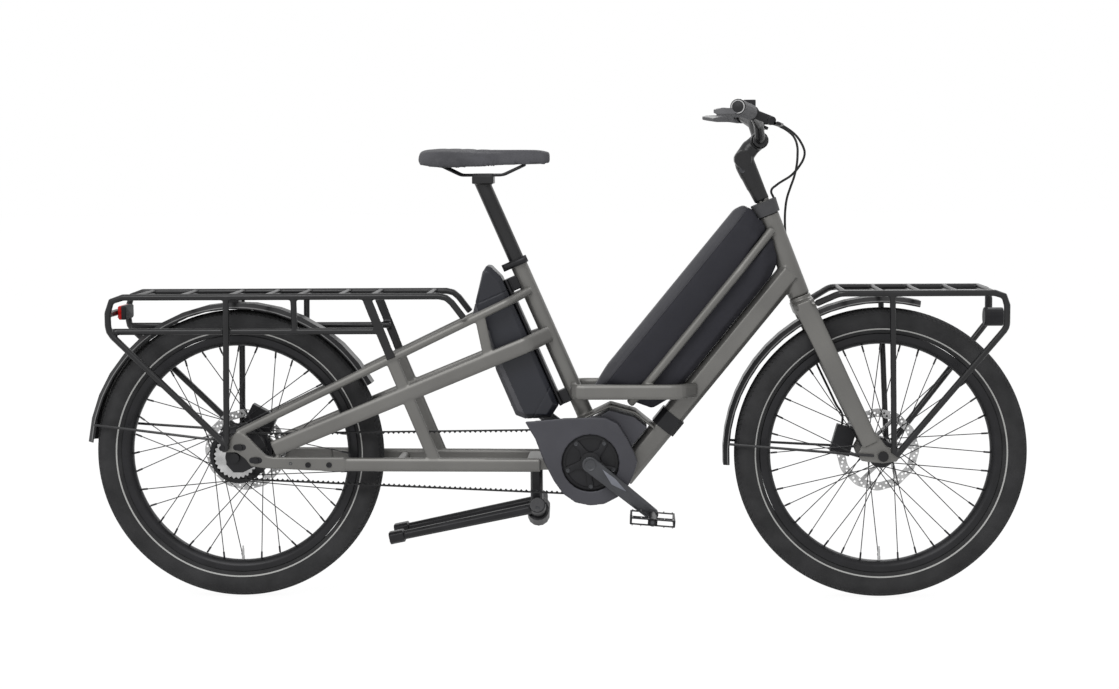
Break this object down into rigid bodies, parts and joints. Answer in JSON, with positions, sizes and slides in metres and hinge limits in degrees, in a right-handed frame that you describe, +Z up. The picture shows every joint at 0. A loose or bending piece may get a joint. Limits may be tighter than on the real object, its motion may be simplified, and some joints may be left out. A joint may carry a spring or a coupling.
{
  "type": "cargo bicycle",
  "caption": "Longtail electric cargo bicycle with belt drive, front and rear racks, mid motor, frame bag, battery behind the seat tube, fenders and a folding centre stand.",
  "frame": {"origin": "middle of the bounding box's footprint, on the ground under the bicycle", "axes": "+X forwards, +Y to the rider's left, +Z up"},
  "size_m": [2.0272, 0.671, 1.0728],
  "materials": {
    "frame_paint": "matte metallic grey",
    "black_metal": "satin black",
    "rubber": "matte",
    "tyre": "matte",
    "slate": "fine grain",
    "battery": "satin",
    "fabric": "woven",
    "steel": "brushed",
    "lens": "clear red",
    "lamp": "clear",
    "skin": "matte"
  },
  "bodies": {
    "frame": {"main_frame": "frame_paint", "right_rear_frame": "frame_paint", "left_rear_frame": "frame_paint", "right_axle_carrier": "black_metal", "left_axle_carrier": "black_metal", "rear_axle": "black_metal", "motor": "slate", "belt": "rubber", "right_side_tubes": "frame_paint", "left_side_tubes": "frame_paint", "belt_guard": "slate", "down_tube_band": "black_metal", "frame_bag": "fabric", "battery": "battery", "battery_bracket": "black_metal", "seat_collar": "black_metal", "stand_mount": "black_metal", "rear_rack": "black_metal", "tail_lamp": "lens", "rear_fender": "black_metal", "stay_bridge": "frame_paint", "rear_caliper": "black_metal", "headset_cover": "black_metal"},
    "steering": {"fork": "frame_paint", "stem": "black_metal", "handlebar": "black_metal", "right_grip": "rubber", "left_grip": "rubber", "display": "black_metal", "right_brake_clamp": "black_metal", "left_brake_clamp": "black_metal", "front_rack": "black_metal", "headlamp": "lamp", "front_fender": "black_metal", "front_caliper": "black_metal", "front_axle": "black_metal", "front_brake_hose": "rubber", "rear_brake_hose": "rubber"},
    "front_wheel": {"front_tyre": "tyre", "front_rim": "black_metal", "front_hub_and_spokes": "black_metal", "front_brake_disc": "steel"},
    "rear_wheel": {"rear_tyre": "tyre", "rear_rim": "black_metal", "rear_hub_and_spokes": "black_metal", "rear_brake_disc": "steel"},
    "crankset": {"front_sprocket": "black_metal", "right_crank": "black_metal", "left_crank": "black_metal"},
    "right_pedal_body": {"right_pedal": "black_metal"},
    "left_pedal_body": {"left_pedal": "black_metal"},
    "rear_belt_wheel": {"rear_sprocket": "steel"},
    "saddle_and_post": {"seat_post": "black_metal", "saddle_rails": "black_metal", "saddle": "skin"},
    "collar_lever_body": {"collar_lever": "black_metal"},
    "right_brake_lever_body": {"right_brake_lever": "black_metal"},
    "left_brake_lever_body": {"left_brake_lever": "black_metal"},
    "right_leg": {"right_stand_leg": "black_metal"},
    "left_leg": {"left_stand_leg": "black_metal"}
  },
  "joints": [
    {"name": "steering_turn", "type": "hinge", "parent": "frame", "child": "steering", "pos_m": [0.52939, 0, 0.64306], "axis": [-0.3616, 0, 0.9323], "range_deg": [-45, 45]},
    {"name": "front_wheel_spin", "type": "hinge", "parent": "steering", "child": "front_wheel", "pos_m": [0.70012, 0, 0.3135], "axis": [0, 1, 0], "continuous": true},
    {"name": "rear_wheel_spin", "type": "hinge", "parent": "frame", "child": "rear_wheel", "pos_m": [-0.68488, 0, 0.3135], "axis": [0, 1, 0], "continuous": true},
    {"name": "crank_spin", "type": "hinge", "parent": "frame", "child": "crankset", "pos_m": [0.07812, 0, 0.301], "axis": [0, 1, 0], "continuous": true},
    {"name": "belt_wheel_spin", "type": "hinge", "parent": "frame", "child": "rear_belt_wheel", "pos_m": [-0.68488, -0.05, 0.3135], "axis": [0, 1, 0], "continuous": true},
    {"name": "right_pedal_spin", "type": "hinge", "parent": "crankset", "child": "right_pedal_body", "pos_m": [0.20946, -0.142, 0.19464], "axis": [0, 1, 0], "continuous": true},
    {"name": "left_pedal_spin", "type": "hinge", "parent": "crankset", "child": "left_pedal_body", "pos_m": [-0.05322, 0.142, 0.40736], "axis": [0, 1, 0], "continuous": true},
    {"name": "seat_height", "type": "slide", "parent": "frame", "child": "saddle_and_post", "axis": [-0.4003, 0, 0.9164], "range_m": [-0.12, 0.06]},
    {"name": "collar_lever_turn", "type": "hinge", "parent": "frame", "child": "collar_lever_body", "pos_m": [-0.10352, -0.0153, 0.71569], "axis": [-0.4003, 0, 0.9164], "range_deg": [-70, 0]},
    {"name": "right_brake_pull", "type": "hinge", "parent": "steering", "child": "right_brake_lever_body", "pos_m": [0.46446, -0.1879, 1.01366], "axis": [0.4191, 0, 0.908], "range_deg": [-15, 0], "stiffness_Nm_per_rad": 0.5, "springref_deg": 11.46},
    {"name": "left_brake_pull", "type": "hinge", "parent": "steering", "child": "left_brake_lever_body", "pos_m": [0.46446, 0.1879, 1.01366], "axis": [0.4191, 0, 0.908], "range_deg": [0, 15], "stiffness_Nm_per_rad": 0.5, "springref_deg": -11.46},
    {"name": "right_leg_fold", "type": "hinge", "parent": "frame", "child": "right_leg", "pos_m": [-0.03588, -0.046, 0.202], "axis": [0, -0.866, 0.5], "range_deg": [0, 124]},
    {"name": "left_leg_fold", "type": "hinge", "parent": "frame", "child": "left_leg", "pos_m": [-0.03588, 0.046, 0.202], "axis": [0, -0.866, -0.5], "range_deg": [0, 124]}
  ],
  "couplings": [
    {"joint": "belt_wheel_spin", "follows": "crank_spin", "ratio": 1.4286},
    {"joint": "left_leg_fold", "follows": "right_leg_fold", "ratio": 1}
  ]
}
